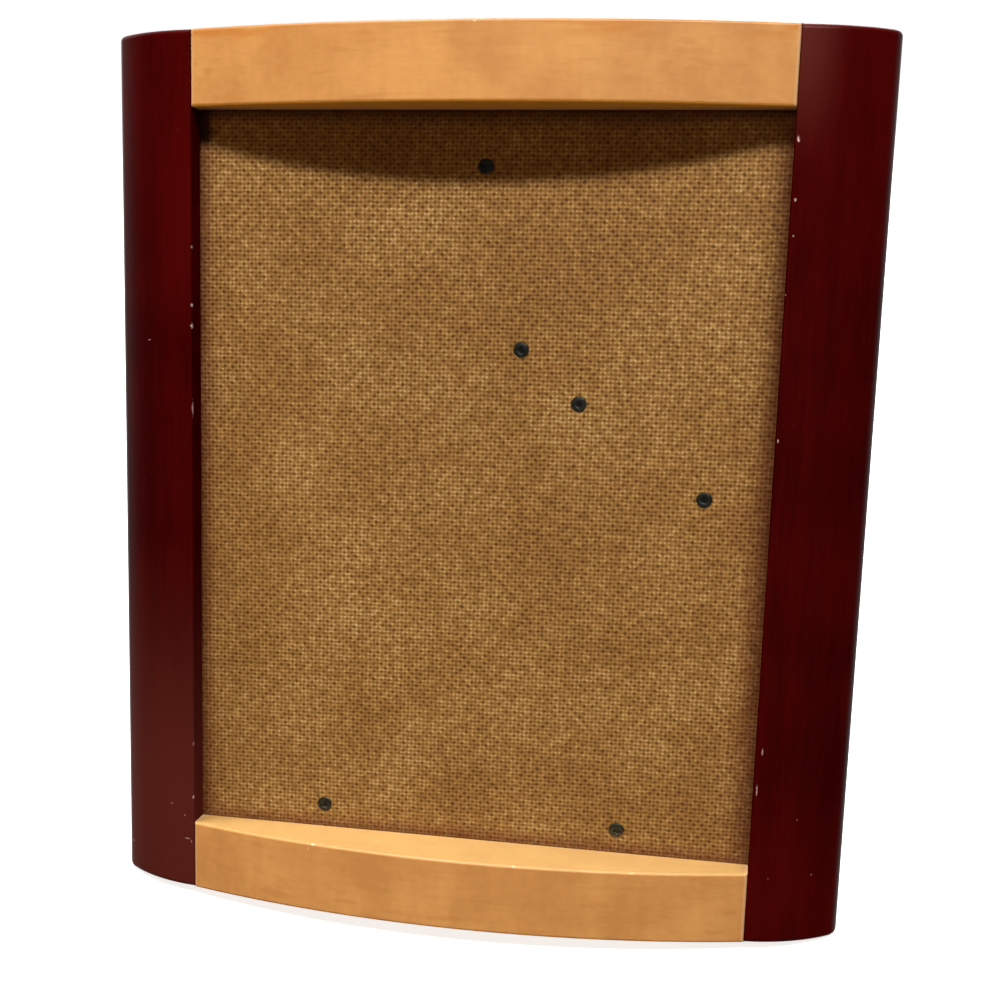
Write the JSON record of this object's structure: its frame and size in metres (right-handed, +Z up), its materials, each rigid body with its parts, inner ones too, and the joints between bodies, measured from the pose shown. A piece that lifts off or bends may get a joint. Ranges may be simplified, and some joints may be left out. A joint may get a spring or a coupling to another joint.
{
  "type": "picture frame",
  "caption": "Wooden picture frame with bowed rails, glass and a folding two-way easel leg on its back, standing leant back on a table.",
  "frame": {"origin": "centre of the standing frame's footprint box, on the table", "axes": "+Z up, the frame's front faces -Y and leans back 12 degrees, +X to the right as seen from the front"},
  "size_m": [0.251, 0.1348, 0.2895],
  "materials": {
    "mahogany_stain": "dark red-brown stain, satin lacquer",
    "maple": "honey coloured satin lacquer",
    "birch": "bare dowel",
    "hardboard": "screen-backed hardboard",
    "glass": "clear float glass",
    "dark_steel": "dark nickel",
    "zinc_steel": "zinc plate"
  },
  "bodies": {
    "frame": {"left_stile": "mahogany_stain", "right_stile": "mahogany_stain", "top_rail": "maple", "bottom_rail": "maple", "dowel_bottom_left_1": "birch", "dowel_bottom_left_2": "birch", "dowel_top_left_1": "birch", "dowel_top_left_2": "birch", "dowel_bottom_right_1": "birch", "dowel_bottom_right_2": "birch", "dowel_top_right_1": "birch", "dowel_top_right_2": "birch", "glass_pane": "glass", "backing_board": "hardboard", "top_hanger_rivet": "dark_steel", "side_hanger_rivet": "dark_steel", "hinge_rivet_upper": "dark_steel", "hinge_rivet_lower": "dark_steel", "button_rivet_left": "dark_steel", "button_rivet_right": "dark_steel", "framing_point_left": "zinc_steel", "framing_point_right": "zinc_steel", "hinge_board_leaf": "zinc_steel", "hinge_pin": "zinc_steel", "top_hanger_strap": "zinc_steel", "side_hanger_strap": "zinc_steel"},
    "leg": {"easel_leg": "hardboard", "hinge_leg_leaf": "zinc_steel", "leg_rivet_1": "zinc_steel", "leg_rivet_2": "zinc_steel"},
    "button_left": {"turn_button_left": "zinc_steel"},
    "button_right": {"turn_button_right": "zinc_steel"},
    "top_ring": {"top_hanger_ring": "zinc_steel"},
    "side_ring": {"side_hanger_ring": "zinc_steel"}
  },
  "joints": [
    {"name": "leg_hinge", "type": "hinge", "parent": "frame", "child": "leg", "pos_m": [0.01854, -0.00106, 0.17391], "axis": [0.7547, -0.1364, -0.6417], "range_deg": [-25, 0]},
    {"name": "button_left_swivel", "type": "hinge", "parent": "frame", "child": "button_left", "pos_m": [-0.051, -0.03302, 0.03124], "axis": [0, 0.9781, -0.2079], "range_deg": [-90, 90]},
    {"name": "button_right_swivel", "type": "hinge", "parent": "frame", "child": "button_right", "pos_m": [0.051, -0.03302, 0.03124], "axis": [0, 0.9781, -0.2079], "range_deg": [-90, 90]},
    {"name": "top_ring_swing", "type": "hinge", "parent": "frame", "child": "top_ring", "pos_m": [0, 0.01574, 0.25294], "axis": [1, 0, 0], "range_deg": [-6, 168]},
    {"name": "side_ring_swing", "type": "hinge", "parent": "frame", "child": "side_ring", "pos_m": [0.0842, -0.00786, 0.14193], "axis": [0, -0.2079, -0.9781], "range_deg": [-6, 168]}
  ]
}
